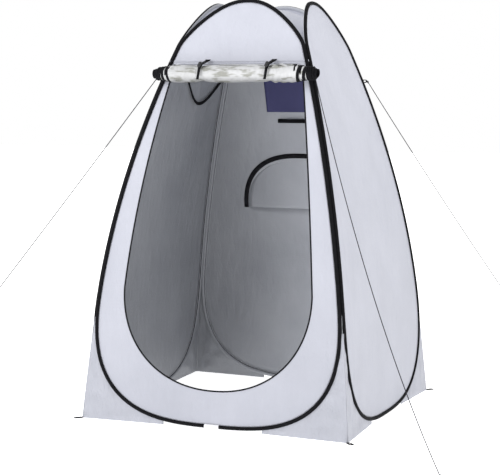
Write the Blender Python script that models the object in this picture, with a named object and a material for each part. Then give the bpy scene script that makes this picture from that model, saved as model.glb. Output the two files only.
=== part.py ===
"""Pop-up privacy shower tent, in metres, +Z up, front wall towards -Y, base centre at the origin."""
import math

import bmesh
import bpy
from mathutils import Vector

# ---- driving dimensions ----
HEIGHT = 1.890            # centre of the hoops' highest point
BASE_HALF = 0.635         # half of the square footprint, corner to corner along a side
WALL_HALF = 0.6155        # half-distance between opposite walls at the ground
WALL_LEAN = 0.2021        # how much each wall leans in, per metre of height
WALL_BOW = 0.1077         # outward bow of each wall
HOOP_WAIST = 0.618        # height where each hoop reaches the corner seam
HOOP_SHOULDER = 1.6855    # height where each hoop leaves the corner seam
HOOP_FOOT = 0.011         # height of the hoop wire at the bottom
FOOT_POWER = 2.973
CROWN_RISE_POWER = 1.5146
CROWN_SIDE_POWER = 2.2451
SEAM_INSET = 0.0118       # hoop centre to corner, so two hoops lie side by side
WIRE_R = 0.0022
BINDING_R = 0.0080
BINDING_BORE_R = 0.0054
SLOT_HALF = 0.0010
PANEL_EDGE_INSET = 0.0058
FABRIC = 0.0008
CLEAR = 0.0004
INNER_CLEAR = 0.0014        # trim on the walls, whose facets cut inside their true curve

DOOR_FOOT = 0.168
DOOR_WIDEST = 0.600
DOOR_TOP = 1.605
DOOR_HALF = 0.447
DOOR_TAPER = 0.135
DOOR_BOW = 0.060
DOOR_WIDEST_TOP = 1.520
DOOR_POWER = 2.15
DOOR_CORNER = 0.030
TAPE_WIDTH = 0.007
TAPE_THICK = 0.0024
TAPE_CLEAR = 0.0010

ROLL_Z = 1.558
ROLL_R = 0.0405
ROLL_OFFSET = 0.0535      # roll axis in front of the wall
ROLL_LEFT = -0.279
ROLL_RIGHT = 0.285
ROLL_END_LEFT = 0.092
ROLL_END_RIGHT = 0.118
ROLL_END_R = 0.033
SHEET_TOP = 1.600
SHEET_FOOT = 1.530
SHEET_HALF = 0.296

TOGGLE_X = (-0.142, 0.178)
TOGGLE_W = 0.020
TOGGLE_T = 0.0016
TOGGLE_GAP = 0.0030
TOGGLE_TOP = 1.618
TOGGLE_FROM = 100.0       # degrees round the roll where the strap meets and leaves it
TOGGLE_TO = 158.0
TOGGLE_TAIL = 0.046
TOGGLE_BAR_R = 0.0065
TOGGLE_BAR_HALF = 0.016
TOGGLE_BAR_AT = 130.0       # degrees round the roll where the bar lies on the strap
FERRULE_HALF = 0.009
FERRULE_R = 0.0035
FERRULE_BORE_R = 0.0029
FERRULE_SLOT_HALF = 0.0009
PATCH_HALF = 0.035
PATCH_T = 0.0009
PATCH_BORE_R = 0.0096
PATCH_SLOT_HALF = 0.0030
ROOF_SAG = 0.225
ROOF_SAG_POWER = 0.8

GUSSET_TOP = 0.400
GUSSET_REACH = 0.240
GUSSET_CLEAR = 0.0010
PEG_LOOP_LEN = 0.040
PEG_LOOP_W = 0.022
PEG_LOOP_T = 0.003
PEG_EYE_LEN = 0.020
PEG_EYE_W = 0.010

GUY_Z = 1.540
GUY_R = 0.0019
GUY_EYE_R = 0.010
GUY_EYE_WIRE = 0.0022

COVER_HALF = 0.150
COVER_TOP = 1.600
COVER_FOOT = 1.388
STRAP_HALF = 0.097
STRAP_Z = 1.344
STRAP_W = 0.020
FLAP_HALF = 0.293
FLAP_TOP = 1.144
FLAP_FOOT = 0.900
FLAP_GAP = 0.0012
FLAP_POWER = 2.4
ZIP_WIDTH = 0.024
ZIP_CENTRE = 0.013
HANG_FROM = -0.104
HANG_TO = 0.326
HANG_Z = 1.545
HANG_DROP = 0.118
HANG_POINT = 0.100

STEPS_FOOT = 11           # segments of one hoop's quarter at the bottom
STEPS_SIDE = 7
STEPS_CROWN = 7

for old in list(bpy.data.objects):
    bpy.data.objects.remove(old, do_unlink=True)

MATERIALS = {
    "outer_fabric": ((0.74, 0.75, 0.84, 1.0), 0.75, 0.0),
    "inner_trim": ((0.008, 0.008, 0.012, 1.0), 0.7, 0.0),
    "silver_roll": ((0.80, 0.80, 0.80, 1.0), 0.45, 0.0),
    "navy_fabric": ((0.045, 0.045, 0.13, 1.0), 0.8, 0.0),
    "spring_steel": ((0.45, 0.46, 0.48, 1.0), 0.35, 1.0),
    "crimp_steel": ((0.62, 0.62, 0.64, 1.0), 0.3, 1.0),
    "white_patch": ((0.80, 0.80, 0.84, 1.0), 0.6, 0.0),
    "guy_cord": ((0.02, 0.02, 0.025, 1.0), 0.8, 0.0),
    "black_plastic": ((0.01, 0.01, 0.012, 1.0), 0.4, 0.0),
}


def material(slot, node):
    colour, rough, metal = MATERIALS[slot]
    mat = bpy.data.materials.new(slot + "__" + node)
    mat.use_nodes = True
    shader = mat.node_tree.nodes["Principled BSDF"]
    shader.inputs["Base Color"].default_value = colour
    shader.inputs["Roughness"].default_value = rough
    shader.inputs["Metallic"].default_value = metal
    return mat


def add_object(name, verts, faces, slot, origin=(0.0, 0.0, 0.0)):
    """Make one closed object whose origin is at the given world point."""
    base = Vector(origin)
    mesh = bpy.data.meshes.new(name)
    mesh.from_pydata([Vector(v) - base for v in verts], [], faces)
    bm = bmesh.new()
    bm.from_mesh(mesh)
    bmesh.ops.remove_doubles(bm, verts=bm.verts, dist=1e-6)
    bmesh.ops.recalc_face_normals(bm, faces=bm.faces)
    bm.to_mesh(mesh)
    bm.free()
    obj = bpy.data.objects.new(name, mesh)
    obj.location = base
    bpy.context.scene.collection.objects.link(obj)
    mesh.materials.append(material(slot, name))
    return obj


def wall_half(z):
    """Distance of a wall's surface from the centre line at height z."""
    return WALL_HALF - WALL_LEAN * z + WALL_BOW * z * (HEIGHT - z)


def turn(point, side):
    """Turn a point of the front wall onto the wall with this number: front, right, back, left."""
    x, y, z = point
    for _ in range(side):
        x, y = -y, x
    return (x, y, z)


def hoop_half():
    """Right half of the hoop's centre line, from the bottom to the top, as (x, z)."""
    pts = []
    for i in range(STEPS_FOOT + 1):
        ang = 0.5 * math.pi * i / STEPS_FOOT
        z = HOOP_WAIST - (HOOP_WAIST - HOOP_FOOT) * math.cos(ang) ** (2.0 / FOOT_POWER)
        pts.append([math.sin(ang) ** (2.0 / FOOT_POWER), z])
    for i in range(1, STEPS_SIDE):
        pts.append([1.0, HOOP_WAIST + (HOOP_SHOULDER - HOOP_WAIST) * i / STEPS_SIDE])
    for i in range(STEPS_CROWN + 1):
        ang = 0.5 * math.pi * i / STEPS_CROWN
        rise = math.sin(ang) ** (2.0 / CROWN_RISE_POWER)
        side = math.cos(ang) ** (2.0 / CROWN_SIDE_POWER) if i < STEPS_CROWN else 0.0
        pts.append([side, HOOP_SHOULDER + (HEIGHT - HOOP_SHOULDER) * rise])
    pts[0][0] = 0.0
    return [(share * (wall_half(z) - SEAM_INSET), z) for share, z in pts]


HALF = hoop_half()
LOOP = HALF + [(-x, z) for x, z in HALF[-2:0:-1]]


def hoop_frames():
    """Centre point, in-wall outward direction and wall normal at each step round the front hoop."""
    pts = [Vector((x, -wall_half(z), z)) for x, z in LOOP]
    frames = []
    for i, here in enumerate(pts):
        tangent = (pts[(i + 1) % len(pts)] - pts[i - 1]).normalized()
        slope = -WALL_LEAN + WALL_BOW * (HEIGHT - 2.0 * here.z)
        normal = Vector((0.0, -1.0, -slope)).normalized()
        out = tangent.cross(normal).normalized() * -1.0
        if out.dot(here - Vector((0.0, here.y, 0.9))) < 0.0:
            out.negate()
        frames.append((here, out, normal))
    return frames


FRAMES = hoop_frames()


def sweep(name, frames, section, slot, side=0, closed=True):
    """Sweep a section, given as (outward, normal) offsets, along the frames."""
    verts = []
    faces = []
    count = len(section)
    for here, out, normal in frames:
        for across, lift in section:
            verts.append(turn(here + out * across + normal * lift, side))
    last = len(frames) if closed else len(frames) - 1
    for i in range(last):
        j = (i + 1) % len(frames)
        for k in range(count):
            m = (k + 1) % count
            faces.append((i * count + k, i * count + m, j * count + m, j * count + k))
    if not closed:
        faces.append(tuple(range(count)))
        faces.append(tuple((len(frames) - 1) * count + k for k in range(count)))
    return add_object(name, verts, faces, slot)


def ring_section(radius, steps):
    return [(radius * math.cos(2.0 * math.pi * k / steps), radius * math.sin(2.0 * math.pi * k / steps))
            for k in range(steps)]


def c_section(outer, inner, half_gap, steps):
    """C-shaped section, open towards the middle of the wall."""
    pts = []
    lip_out = math.asin(half_gap / outer)
    lip_in = math.asin(half_gap / inner)
    for k in range(steps + 1):
        ang = -math.pi + lip_out + (2.0 * math.pi - 2.0 * lip_out) * k / steps
        pts.append((outer * math.cos(ang), outer * math.sin(ang)))
    inner_steps = max(4, steps - 2)
    for k in range(inner_steps + 1):
        ang = math.pi - lip_in - (2.0 * math.pi - 2.0 * lip_in) * k / inner_steps
        pts.append((inner * math.cos(ang), inner * math.sin(ang)))
    return pts


def sheet_solid(name, rows, slot, thick=FABRIC, side=0, lift=0.0, origin=None):
    """Closed thin solid over a grid of (x, z) rows that follow the wall."""
    verts = []
    faces = []
    total = sum(len(row) for row in rows)
    for face_lift in (thick * 0.5, -thick * 0.5):
        for row in rows:
            for x, z in row:
                y = -wall_half(z) - lift - face_lift
                verts.append(turn((x, y, z), side))
    index = []
    base = 0
    for row in rows:
        index.append([base + k for k in range(len(row))])
        base += len(row)
    edges = {}

    def put(loop):
        faces.append(tuple(loop))
        faces.append(tuple(v + total for v in reversed(loop)))
        for k, first in enumerate(loop):
            second = loop[(k + 1) % len(loop)]
            if (second, first) in edges:
                del edges[(second, first)]
            else:
                edges[(first, second)] = True

    for low, high in zip(index[:-1], index[1:]):
        if len(low) == 1:
            for k in range(len(high) - 1):
                put([low[0], high[k + 1], high[k]])
        elif len(high) == 1:
            for k in range(len(low) - 1):
                put([low[k], low[k + 1], high[0]])
        else:
            for k in range(len(low) - 1):
                put([low[k], low[k + 1], high[k + 1], high[k]])
    for first, second in edges:
        faces.append((second, first, first + total, second + total))
    return add_object(name, verts, faces, slot, origin or (0.0, 0.0, 0.0))


def inset_half(distance):
    """Right half of the hoop outline moved towards the middle of the wall, as (x, z)."""
    pts = []
    for here, out, _ in FRAMES[:len(HALF)]:
        moved = here - out * distance
        pts.append((moved.x, moved.z))
    pts[0] = (0.0, pts[0][1])
    pts[-1] = (0.0, pts[-1][1])
    return pts


def plain_panel(name, side):
    """A wall without an opening."""
    rows = []
    columns = 6
    edge = inset_half(PANEL_EDGE_INSET)
    for i, (x, z) in enumerate(edge):
        if i in (0, len(edge) - 1):
            rows.append([(0.0, z)])
        else:
            rows.append([(-x + 2.0 * x * k / columns, z) for k in range(columns + 1)])
    return sheet_solid(name, rows, "outer_fabric", side=side)


def door_half(z):
    """Half-width of the door opening at height z."""
    if z >= DOOR_WIDEST:
        over = z - DOOR_WIDEST
        return DOOR_HALF - DOOR_TAPER * over + DOOR_BOW * over * (DOOR_WIDEST_TOP - z)
    drop = min(1.0, (DOOR_WIDEST - z) / (DOOR_WIDEST - DOOR_FOOT))
    return DOOR_HALF * max(0.0, 1.0 - drop ** DOOR_POWER) ** (1.0 / DOOR_POWER)


def door_outline():
    """Right half of the door outline, with as many points in each part as the hoop's."""
    foot_steps = STEPS_FOOT
    corner_steps = 3
    top_steps = STEPS_CROWN - corner_steps
    side_steps = STEPS_SIDE
    pts = []
    for i in range(foot_steps + 1):
        ang = 0.5 * math.pi * i / foot_steps
        z = DOOR_WIDEST - (DOOR_WIDEST - DOOR_FOOT) * math.cos(ang) ** (2.0 / DOOR_POWER)
        pts.append((DOOR_HALF * math.sin(ang) ** (2.0 / DOOR_POWER), z))
    pts[0] = (0.0, DOOR_FOOT)
    straight_top = DOOR_TOP - DOOR_CORNER
    for i in range(1, side_steps + 1):
        z = DOOR_WIDEST + (straight_top - DOOR_WIDEST) * i / side_steps
        pts.append((door_half(z), z))
    corner_x = door_half(straight_top) - DOOR_CORNER
    for i in range(1, corner_steps + 1):
        ang = 0.5 * math.pi * i / corner_steps
        pts.append((corner_x + DOOR_CORNER * math.cos(ang), straight_top + DOOR_CORNER * math.sin(ang)))
    for i in range(1, top_steps + 1):
        pts.append((corner_x * (1.0 - i / top_steps), DOOR_TOP))
    return pts


def offset_flat(pts, distance):
    """Move a half outline outward in its own plane; its ends stay on the centre line."""
    moved = []
    for i, (x, z) in enumerate(pts):
        x0, z0 = pts[i - 1] if i else (-pts[1][0], pts[1][1])
        x1, z1 = pts[i + 1] if i < len(pts) - 1 else (-pts[-2][0], pts[-2][1])
        run = math.hypot(x1 - x0, z1 - z0)
        moved.append((x + distance * (z1 - z0) / run, z - distance * (x1 - x0) / run))
    moved[0] = (0.0, moved[0][1])
    moved[-1] = (0.0, moved[-1][1])
    return moved


def whole(half):
    return half + [(-x, z) for x, z in half[-2:0:-1]]


def ring_panel(name, outer, inner, rings, slot, side=0, thick=FABRIC, lift=0.0):
    """Wall panel with an opening: rings of points between an outer and an inner outline."""
    count = len(outer)
    verts = []
    faces = []
    for face_lift in (thick * 0.5, -thick * 0.5):
        for r in range(rings + 1):
            share = r / rings
            for (x0, z0), (x1, z1) in zip(outer, inner):
                x = x0 + (x1 - x0) * share
                z = z0 + (z1 - z0) * share
                verts.append(turn((x, -wall_half(z) - lift - face_lift, z), side))
    total = count * (rings + 1)
    for r in range(rings):
        for k in range(count):
            m = (k + 1) % count
            quad = (r * count + k, r * count + m, (r + 1) * count + m, (r + 1) * count + k)
            faces.append(quad)
            faces.append(tuple(v + total for v in reversed(quad)))
    for k in range(count):
        m = (k + 1) % count
        faces.append((k, m, m + total, k + total))
        low = rings * count
        faces.append((low + m, low + k, low + k + total, low + m + total))
    return add_object(name, verts, faces, slot)


SIDES = ("front", "right", "back", "left")
for number, wall_name in enumerate(SIDES):
    sweep("hoop_wire_" + wall_name, FRAMES, ring_section(WIRE_R, 4), "spring_steel", number)
    sweep("hoop_binding_" + wall_name, FRAMES,
          c_section(BINDING_R, BINDING_BORE_R, SLOT_HALF, 5), "inner_trim", number)


# ---- ferrules that join each wire, and the patch over the front one ----
def foot_frames(half_length, steps):
    frames = []
    for i in range(steps + 1):
        x = -half_length + 2.0 * half_length * i / steps
        here = Vector((x, -wall_half(HOOP_FOOT), HOOP_FOOT))
        normal = Vector((0.0, -1.0, WALL_LEAN - WALL_BOW * HEIGHT)).normalized()
        out = Vector((0.0, 0.0, -1.0))
        out = (out - normal * out.dot(normal)).normalized()
        frames.append((here, out, normal))
    return frames


for number, wall_name in enumerate(SIDES):
    sweep("wire_ferrule_" + wall_name, foot_frames(FERRULE_HALF, 1),
          c_section(FERRULE_R, FERRULE_BORE_R, FERRULE_SLOT_HALF, 6), "crimp_steel", number, closed=False)

sweep("binding_patch", foot_frames(PATCH_HALF, 1),
      c_section(PATCH_BORE_R + PATCH_T, PATCH_BORE_R, PATCH_SLOT_HALF, 10), "white_patch",
      0, closed=False)

# ---- wall panels ----
outer_loop = whole(inset_half(PANEL_EDGE_INSET))
door_half_line = door_outline()
hole_loop = whole(offset_flat(door_half_line, TAPE_CLEAR))
ring_panel("wall_front", outer_loop, hole_loop, 3, "outer_fabric")
for number in (1, 3):
    plain_panel("wall_" + SIDES[number], number)

tape_out = whole(door_half_line)
tape_in = whole(offset_flat(door_half_line, -TAPE_WIDTH))
ring_panel("door_zip_tape", tape_out, tape_in, 1, "inner_trim", thick=TAPE_THICK)


# ---- back wall with its arched vent flap ----
def arch_half(grow, line_steps, arch_steps):
    """Right half of the arch, from the bottom middle round to the top middle."""
    pts = [((FLAP_HALF + grow) * i / line_steps, FLAP_FOOT - grow) for i in range(line_steps)]
    for i in range(arch_steps + 1):
        ang = 0.5 * math.pi * i / arch_steps
        x = (FLAP_HALF + grow) * math.cos(ang) ** (2.0 / FLAP_POWER)
        z = FLAP_FOOT - grow + (FLAP_TOP - FLAP_FOOT + 2.0 * grow) * math.sin(ang) ** (2.0 / FLAP_POWER)
        pts.append((x if i < arch_steps else 0.0, z))
    return pts


arch_hole = whole(arch_half(FLAP_GAP, STEPS_FOOT, STEPS_SIDE + STEPS_CROWN))
ring_panel("wall_back", outer_loop, arch_hole, 5, "outer_fabric", side=2)

flap_rows = []
flap_edge = arch_half(0.0, 1, STEPS_SIDE + STEPS_CROWN)[1:]
for x, z in flap_edge[:-1]:
    flap_rows.append([(-x + 2.0 * x * k / 4, z) for k in range(5)])
flap_rows.append([(0.0, flap_edge[-1][1])])
flap_hinge = (0.0, wall_half(FLAP_FOOT), FLAP_FOOT)
sheet_solid("vent_flap", flap_rows, "outer_fabric", side=2, origin=flap_hinge)

arch_out = arch_half(ZIP_CENTRE + ZIP_WIDTH * 0.5, 1, 16)[1:]
arch_in = arch_half(ZIP_CENTRE - ZIP_WIDTH * 0.5, 1, 16)[1:]
band_rows = [list(pair) for pair in zip(arch_out, arch_in)]
band_rows[0] = [(arch_out[0][0], FLAP_FOOT), (arch_in[0][0], FLAP_FOOT)]
band_rows += [[(-a[0], a[1]), (-b[0], b[1])] for a, b in reversed(band_rows[:-1])]
sheet_solid("vent_zip", band_rows, "inner_trim", thick=0.0014, side=2,
            lift=-(FABRIC * 0.5 + 0.0014 * 0.5 + INNER_CLEAR))

# ---- window cover, towel strap and hanging strap inside ----
cover_rows = [[(-COVER_HALF + 2.0 * COVER_HALF * k / 4, COVER_FOOT + (COVER_TOP - COVER_FOOT) * r / 4)
               for k in range(5)] for r in range(5)]
sheet_solid("window_cover", cover_rows, "navy_fabric", thick=0.0012, side=2,
            lift=-(FABRIC * 0.5 + 0.0006 + INNER_CLEAR))


def strap_strip(name, side, path, width, thick, slot):
    """A flat strap inside a wall: path is a list of (x, z, stand-off from the wall)."""
    verts = []
    faces = []
    for i, (x, z, off) in enumerate(path):
        x0, z0, _ = path[max(0, i - 1)]
        x1, z1, _ = path[min(len(path) - 1, i + 1)]
        run = math.hypot(x1 - x0, z1 - z0)
        across = (-(z1 - z0) / run * width * 0.5, (x1 - x0) / run * width * 0.5)
        for sign, lift in ((-1, 0.0), (1, 0.0), (1, thick), (-1, thick)):
            px = x + sign * across[0]
            pz = z + sign * across[1]
            verts.append(turn((px, -wall_half(pz) + off + lift, pz), side))
    for i in range(len(path) - 1):
        for k in range(4):
            m = (k + 1) % 4
            faces.append((i * 4 + k, i * 4 + m, i * 4 + 4 + m, i * 4 + 4 + k))
    end = (len(path) - 1) * 4
    faces.append((0, 1, 2, 3))
    faces.append((end, end + 1, end + 2, end + 3))
    return add_object(name, verts, faces, slot)


towel_path = []
for step in range(13):
    across = -1.0 + 2.0 * step / 12
    stand_off = FABRIC * 0.5 + INNER_CLEAR + 0.016 * max(0.0, 1.0 - across * across)
    towel_path.append((across * STRAP_HALF, STRAP_Z, stand_off))
strap_strip("towel_strap", 2, towel_path, STRAP_W, 0.0016, "inner_trim")

hang_path = []
for step in range(19):
    share = step / 18
    x = HANG_FROM + (HANG_TO - HANG_FROM) * share
    low = (HANG_POINT - HANG_FROM) / (HANG_TO - HANG_FROM)
    drop = share / low if share < low else (1.0 - share) / (1.0 - low)
    z = HANG_Z - HANG_DROP * math.sin(0.5 * math.pi * drop) ** 1.25
    stand_off = FABRIC * 0.5 + INNER_CLEAR + 0.010 * math.sin(math.pi * share)
    hang_path.append((-x, z, stand_off))
strap_strip("hanging_strap", 3, hang_path, 0.016, 0.0016, "inner_trim")


# ---- roof ----
def roof():
    crown = [Vector((x, -wall_half(z) + SEAM_INSET, z)) for x, z in HALF[-(STEPS_CROWN + 1):]]
    arc = crown + [Vector((-p.x, p.y, p.z)) for p in crown[-2::-1]]
    arc.reverse()
    count = len(arc) - 1
    low = arc[0].z
    corner = abs(arc[0].x)
    verts = []
    faces = []
    for thick in (0.0, -FABRIC):
        for j in range(count + 1):
            t = j / count
            for i in range(count + 1):
                s = i / count
                front = arc[i]
                back = Vector((arc[i].x, -arc[i].y, arc[i].z))
                left = Vector((arc[j].y, arc[j].x, arc[j].z))
                right = Vector((-arc[j].y, arc[j].x, arc[j].z))
                blend = front * (1.0 - t) + back * t + left * (1.0 - s) + right * s
                flat = Vector((corner * (2.0 * s - 1.0), corner * (2.0 * t - 1.0), low))
                point = blend - flat
                bulge = 16.0 * s * (1.0 - s) * t * (1.0 - t)
                point.z -= ROOF_SAG * bulge ** ROOF_SAG_POWER
                point.z += thick
                verts.append(point)
    row = count + 1
    total = row * row
    for j in range(count):
        for i in range(count):
            near, far = j * row + i, (j + 1) * row + i
            for half in ((near, near + 1, far + 1), (near, far + 1, far)):
                faces.append(half)
                faces.append(tuple(v + total for v in reversed(half)))
    rim = [i for i in range(row)] + [j * row + count for j in range(1, row)]
    rim += [count * row + i for i in range(count - 1, -1, -1)]
    rim += [j * row for j in range(count - 1, 0, -1)]
    for k, first in enumerate(rim):
        second = rim[(k + 1) % len(rim)]
        faces.append((second, first, first + total))
        faces.append((second, first + total, second + total))
    add_object("roof_panel", verts, faces, "outer_fabric")


roof()


# ---- corner gussets ----
def gusset_edge():
    """Inner edge of a gusset's front wing, just outside the hoop, from the ground up, as (x, z)."""
    outside = []
    for here, out, _ in FRAMES[:STEPS_FOOT + 6]:
        moved = here + out * (BINDING_R + GUSSET_CLEAR)
        outside.append((moved.x, moved.z))
    edge = [(GUSSET_REACH, 0.0)]
    for (x0, z0), (x1, z1) in zip(outside[:-1], outside[1:]):
        if x0 <= GUSSET_REACH < x1:
            share = (GUSSET_REACH - x0) / (x1 - x0)
            edge.append((GUSSET_REACH, z0 + (z1 - z0) * share))
        if x1 > GUSSET_REACH and z1 < GUSSET_TOP:
            edge.append((x1, z1))
    return edge


def gusset(name, side):
    columns = 3
    outline = []
    edge = gusset_edge()
    top = edge[-1][1]
    for inner, z in edge:
        share = z / top
        flare = (BASE_HALF - WALL_HALF) * (1.0 - share) ** 2
        corner = wall_half(z) + flare
        row = []
        for k in range(columns + 1):
            part = k / columns
            x = inner + (corner - inner) * part
            row.append((x, -(wall_half(z) + flare * part), z))
        mirrored = [(-p[1], -p[0], p[2]) for p in reversed(row[:-1])]
        outline.append((row, mirrored))
    rows = len(edge) - 1
    verts = []
    faces = []
    for layer in (0.0, FABRIC):
        for row, mirrored in outline:
            for p in row[:-1]:
                verts.append(turn((p[0], p[1] + layer, p[2]), side))
            verts.append(turn((row[-1][0] - layer, row[-1][1] + layer, row[-1][2]), side))
            for p in mirrored:
                verts.append(turn((p[0] - layer, p[1], p[2]), side))
    width = 2 * columns + 1
    total = width * (rows + 1)
    for r in range(rows):
        for k in range(width - 1):
            quad = (r * width + k, r * width + k + 1, (r + 1) * width + k + 1, (r + 1) * width + k)
            faces.append(quad)
            faces.append(tuple(v + total for v in reversed(quad)))
    rim = [k for k in range(width)] + [r * width + width - 1 for r in range(1, rows + 1)]
    rim += [rows * width + k for k in range(width - 2, -1, -1)]
    rim += [r * width for r in range(rows - 1, 0, -1)]
    for k, first in enumerate(rim):
        second = rim[(k + 1) % len(rim)]
        faces.append((second, first, first + total, second + total))
    add_object(name, verts, faces, "outer_fabric")


# ---- flat webbing links: the peg loops, the guy tabs ----
def oval(length, width, steps):
    """Outline of a rounded link about its middle, as (along, across)."""
    pts = []
    radius = width * 0.5
    reach = length * 0.5 - radius
    for k in range(steps):
        ang = 2.0 * math.pi * (k + 0.5) / steps
        along = radius * math.cos(ang)
        pts.append((along + math.copysign(reach, along), radius * math.sin(ang)))
    return pts


def link(name, centre, along, across, length, width, eye_length, eye_width, thick, slot):
    up = Vector(along).cross(Vector(across)).normalized()
    rim = oval(length, width, 12)
    eye = oval(eye_length, eye_width, 12)
    count = len(rim)
    verts = []
    faces = []
    for level in (0.0, thick):
        for outline in (rim, eye):
            for a, b in outline:
                verts.append(Vector(centre) + Vector(along) * a + Vector(across) * b + up * level)
    for k in range(count):
        m = (k + 1) % count
        faces.append((k, m, count + m, count + k))
        faces.append((2 * count + k, 3 * count + k, 3 * count + m, 2 * count + m))
        faces.append((k, 2 * count + k, 2 * count + m, m))
        faces.append((count + k, count + m, 3 * count + m, 3 * count + k))
    add_object(name, verts, faces, slot)


ROOT_HALF = math.sqrt(0.5)
CORNERS = (("front_right", 0), ("back_right", 1), ("back_left", 2), ("front_left", 3))
for label, number in CORNERS:
    gusset("corner_gusset_" + label, number)
    outward = Vector(turn((ROOT_HALF, -ROOT_HALF, 0.0), number))
    sideways = Vector((0.0, 0.0, 1.0)).cross(outward)
    reach = BASE_HALF / ROOT_HALF + 0.0006 + PEG_LOOP_LEN * 0.5
    link("peg_loop_" + label, outward * reach, outward, sideways, PEG_LOOP_LEN, PEG_LOOP_W,
         PEG_EYE_LEN, PEG_EYE_W, PEG_LOOP_T, "inner_trim")
    tab_reach = (wall_half(GUY_Z) + 0.0012) / ROOT_HALF
    tab_centre = outward * (tab_reach + 0.011) + Vector((0.0, 0.0, GUY_Z))
    link("guy_tab_" + label, tab_centre, outward, Vector((0.0, 0.0, 1.0)), 0.022, 0.016,
         0.012, 0.0075, 0.0018, "inner_trim")


# ---- guy lines, cut off in an eye a little way outside the tent ----
# (corner, quarter turns from the front right corner, drop per metre run, run, sag)
GUYS = (
    ("front_left", 3, 1.266, 0.760, 0.004),
    ("front_right", 0, 1.347, 1.108, 0.125),
    ("back_right", 1, 1.316, 0.800, 0.012),
)


def guy_line(label, number, drop, run, sag):
    outward = Vector(turn((ROOT_HALF, -ROOT_HALF, 0.0), number))
    tab_reach = (wall_half(GUY_Z) + 0.0012) / ROOT_HALF
    start = outward * (tab_reach + 0.026) + Vector((0.0, 0.0, GUY_Z - 0.002))
    end = start + outward * run - Vector((0.0, 0.0, drop * run))
    curve = bpy.data.curves.new("guy_line_" + label, "CURVE")
    curve.dimensions = "3D"
    curve.bevel_depth = GUY_R
    curve.bevel_resolution = 1
    curve.use_fill_caps = True
    spline = curve.splines.new("POLY")
    steps = 12
    spline.points.add(steps)
    for i in range(steps + 1):
        share = i / steps
        here = start.lerp(end, share)
        here.z -= sag * 4.0 * share * (1.0 - share)
        spline.points[i].co = (here.x, here.y, here.z, 1.0)
    obj = bpy.data.objects.new("guy_line_" + label, curve)
    curve.materials.append(material("guy_cord", "guy_line_" + label))
    bpy.context.scene.collection.objects.link(obj)
    along = (end - start - Vector((0.0, 0.0, -4.0 * sag))).normalized()
    side_way = along.cross(Vector((0.0, 0.0, 1.0))).normalized()
    rise = side_way.cross(along)
    centre = end + along * (GUY_EYE_R + GUY_EYE_WIRE + CLEAR)
    frames = []
    for k in range(16):
        ang = 2.0 * math.pi * k / 16
        spoke = along * math.cos(ang) + rise * math.sin(ang)
        frames.append((centre + spoke * GUY_EYE_R, spoke, side_way))
    sweep("guy_eye_" + label, frames, ring_section(GUY_EYE_WIRE, 6), "guy_cord")


for guy in GUYS:
    guy_line(*guy)

# ---- rolled door ----
roll_y = -wall_half(ROLL_Z) - ROLL_OFFSET
ARC_R = 0.5 / WALL_BOW
arc_centre = (0.0, ARC_R - wall_half(0.0), 0.5 * (HEIGHT - WALL_LEAN / WALL_BOW))


def lathe(name, stations, sides, slot, origin, bulge=0.0):
    """Closed solid round a line along X: stations are (x, radius)."""
    verts = []
    faces = []
    for x, radius in stations:
        for k in range(sides):
            ang = 2.0 * math.pi * k / sides
            r = radius * (1.0 + bulge * math.sin(3.0 * ang + 9.0 * x))
            verts.append((x, roll_y + r * math.cos(ang), ROLL_Z + r * math.sin(ang)))
    for i in range(len(stations) - 1):
        for k in range(sides):
            m = (k + 1) % sides
            faces.append((i * sides + k, i * sides + m, (i + 1) * sides + m, (i + 1) * sides + k))
    faces.append(tuple(range(sides)))
    faces.append(tuple((len(stations) - 1) * sides + k for k in range(sides)))
    return add_object(name, verts, faces, slot, origin)


roll_stations = []
for step in range(13):
    share = step / 12
    x = ROLL_LEFT + (ROLL_RIGHT - ROLL_LEFT) * share
    pinch = 0.0
    for toggle_x in TOGGLE_X:
        pinch = max(pinch, math.exp(-((x - toggle_x) / 0.03) ** 2))
    roll_stations.append((x, ROLL_R * (1.0 - 0.10 * pinch)))
lathe("door_roll", roll_stations, 14, "silver_roll", arc_centre, 0.02)


def ribbed_end(name, start, length, direction, slot):
    stations = []
    ribs = 5
    for k in range(ribs):
        share = k / ribs
        base_r = ROLL_END_R * (1.0 - 0.35 * share)
        x = start + direction * (0.0006 + length * share)
        step = direction * length / ribs
        stations.append((x, base_r * 0.93))
        stations.append((x + step * 0.35, base_r))
        stations.append((x + step * 0.75, base_r * 0.97))
    stations.append((start + direction * (0.0006 + length), ROLL_END_R * 0.55))
    lathe(name, stations, 12, slot, arc_centre)


ribbed_end("door_roll_end_left", ROLL_LEFT, ROLL_END_LEFT, -1.0, "inner_trim")
ribbed_end("door_roll_end_right", ROLL_RIGHT, ROLL_END_RIGHT, 1.0, "inner_trim")

sheet_rows = []
for r in range(5):
    z = SHEET_TOP + (SHEET_FOOT - SHEET_TOP) * r / 4
    sheet_rows.append([(-SHEET_HALF + 2.0 * SHEET_HALF * k / 4, z) for k in range(5)])
sheet_solid("door_sheet", sheet_rows, "silver_roll", thick=0.0008, lift=0.0035)


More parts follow.
